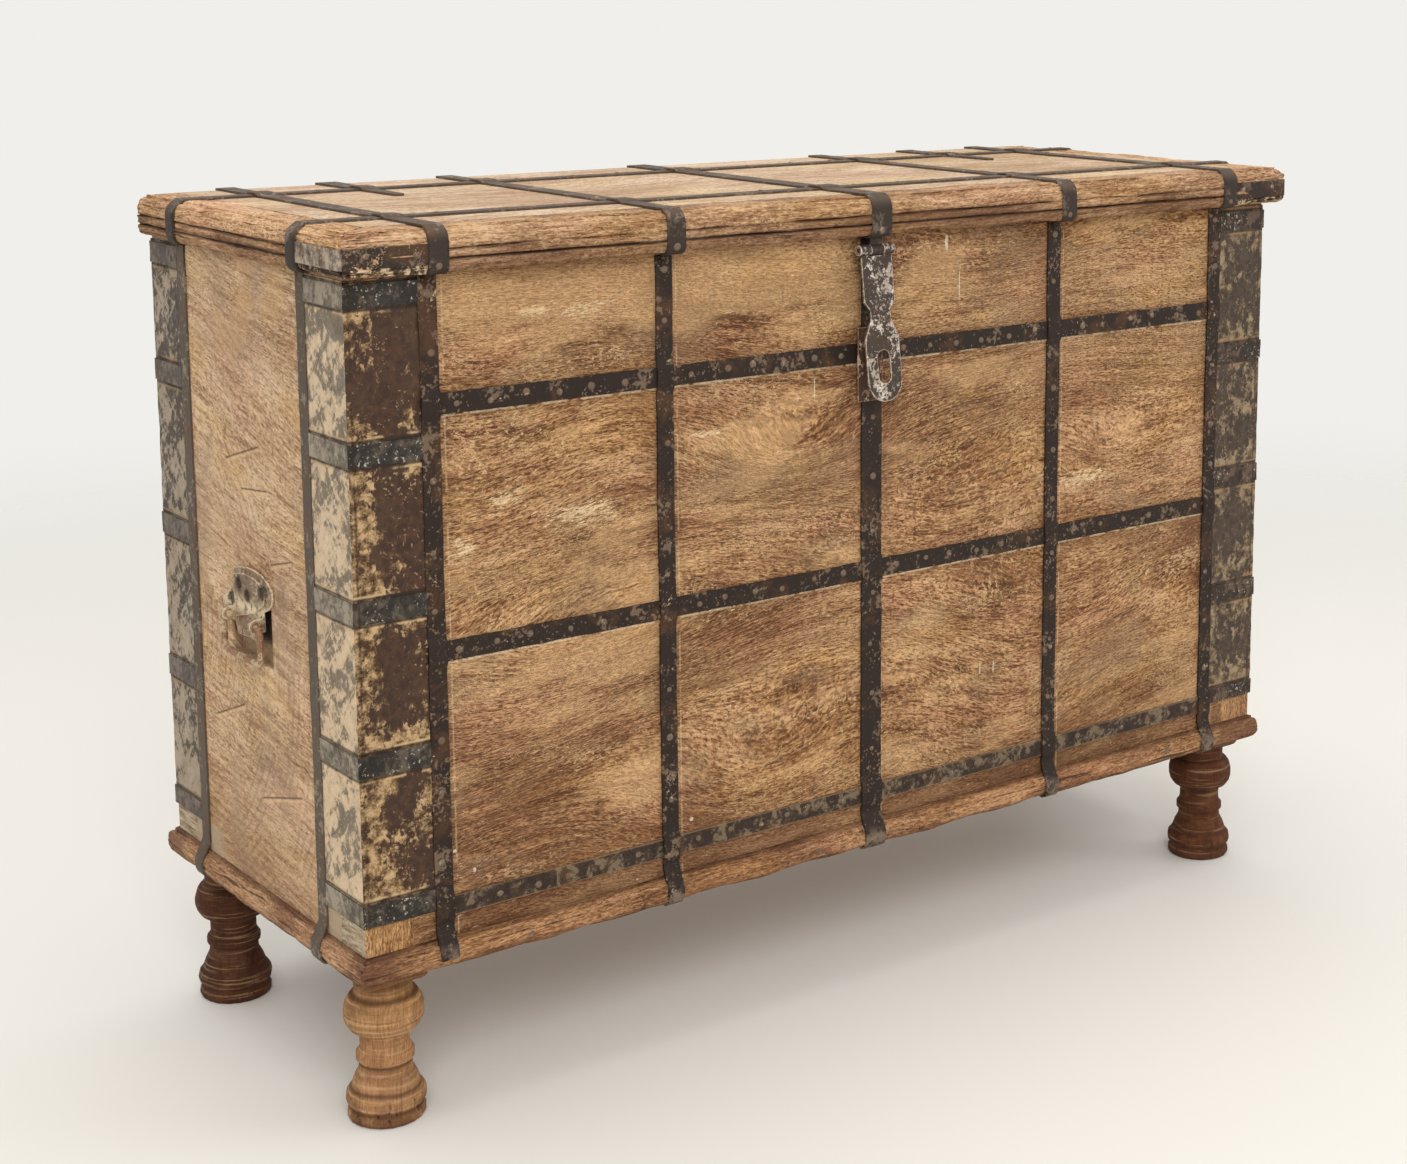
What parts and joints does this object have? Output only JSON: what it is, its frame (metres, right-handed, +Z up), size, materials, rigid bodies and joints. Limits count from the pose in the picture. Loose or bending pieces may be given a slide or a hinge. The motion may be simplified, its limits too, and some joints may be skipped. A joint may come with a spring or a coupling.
{
  "type": "storage chest",
  "caption": "Large iron-bound wooden trunk on turned legs, with a hinged moulded lid, a hasp and staple, and a hanging lifting handle at each end",
  "frame": {"origin": "centre of the footprint of the whole part, on the floor under the legs", "axes": "+X along the front to the viewer's right, +Y to the back, +Z up; the hasp is on the -Y side"},
  "size_m": [1.746, 0.6906, 1.2319],
  "materials": {
    "case_wood": "worn, open-grained, dry",
    "leg_wood": "worn turned wood, faint sheen",
    "frame_wood": "worn, open-grained",
    "lid_wood": "worn, sun-bleached on top",
    "strap_iron": "wrought, worn paint and rust",
    "lid_strap_iron": "wrought, rubbed",
    "sheet_iron": "old paint flaking off rusty sheet",
    "hinge_iron": "wrought, rusty",
    "fitting_iron": "forged, pitted, rubbed bright"
  },
  "bodies": {
    "case": {"bottom_board": "case_wood", "front_board_lower": "case_wood", "front_board_upper": "case_wood", "back_board": "case_wood", "left_board_lower": "case_wood", "left_board_upper": "case_wood", "right_board_lower": "case_wood", "right_board_upper": "case_wood", "post_front_left": "case_wood", "leg_front_left": "leg_wood", "corner_sheet_front_left": "sheet_iron", "post_front_right": "case_wood", "leg_front_right": "leg_wood", "corner_sheet_front_right": "sheet_iron", "post_back_left": "case_wood", "leg_back_left": "leg_wood", "corner_sheet_back_left": "sheet_iron", "post_back_right": "case_wood", "leg_back_right": "leg_wood", "corner_sheet_back_right": "sheet_iron", "frame_rail_front": "frame_wood", "frame_rail_back": "frame_wood", "frame_rail_left": "frame_wood", "frame_rail_right": "frame_wood", "front_upright_1": "strap_iron", "front_upright_2": "strap_iron", "front_upright_3": "strap_iron", "front_upright_4": "strap_iron", "front_upright_5": "strap_iron", "front_cross_low": "strap_iron", "front_cross_middle": "strap_iron", "front_cross_high": "strap_iron", "left_strap_front": "strap_iron", "left_strap_back": "strap_iron", "hinge_back_leaf_left": "hinge_iron", "handle_plate_left": "fitting_iron", "right_strap_front": "strap_iron", "right_strap_back": "strap_iron", "hinge_back_leaf_right": "hinge_iron", "handle_plate_right": "fitting_iron", "hasp_staple": "fitting_iron"},
    "lid": {"lid_strap_1": "lid_strap_iron", "lid_strap_2": "lid_strap_iron", "lid_strap_3": "lid_strap_iron", "lid_strap_4": "lid_strap_iron", "lid_strap_5": "lid_strap_iron", "lid_rail_left": "lid_wood", "lid_corner_plate_left": "sheet_iron", "hinge_top_leaf_left": "hinge_iron", "lid_rail_right": "lid_wood", "lid_corner_plate_right": "sheet_iron", "hinge_top_leaf_right": "hinge_iron", "lid_rail_front": "lid_wood", "lid_board_front": "lid_wood", "lid_board_back": "lid_wood", "lid_length_strap_front": "lid_strap_iron", "lid_length_strap_back": "lid_strap_iron"},
    "hasp": {"hasp": "fitting_iron"},
    "bail_left": {"handle_bail_left": "fitting_iron"},
    "bail_right": {"handle_bail_right": "fitting_iron"}
  },
  "joints": [
    {"name": "lid_hinge", "type": "hinge", "parent": "case", "child": "lid", "pos_m": [0, 0.33829, 1.166], "axis": [-1, 0, 0], "range_deg": [0, 100]},
    {"name": "hasp_hinge", "type": "hinge", "parent": "lid", "child": "hasp", "pos_m": [-0.008, -0.31601, 1.1453], "axis": [-1, 0, 0], "range_deg": [0, 130]},
    {"name": "bail_left_hinge", "type": "hinge", "parent": "case", "child": "bail_left", "pos_m": [-0.863, 0.02999, 0.65241], "axis": [0, 1, 0], "range_deg": [0, 160]},
    {"name": "bail_right_hinge", "type": "hinge", "parent": "case", "child": "bail_right", "pos_m": [0.863, 0.02999, 0.65241], "axis": [0, -1, 0], "range_deg": [0, 160]}
  ]
}
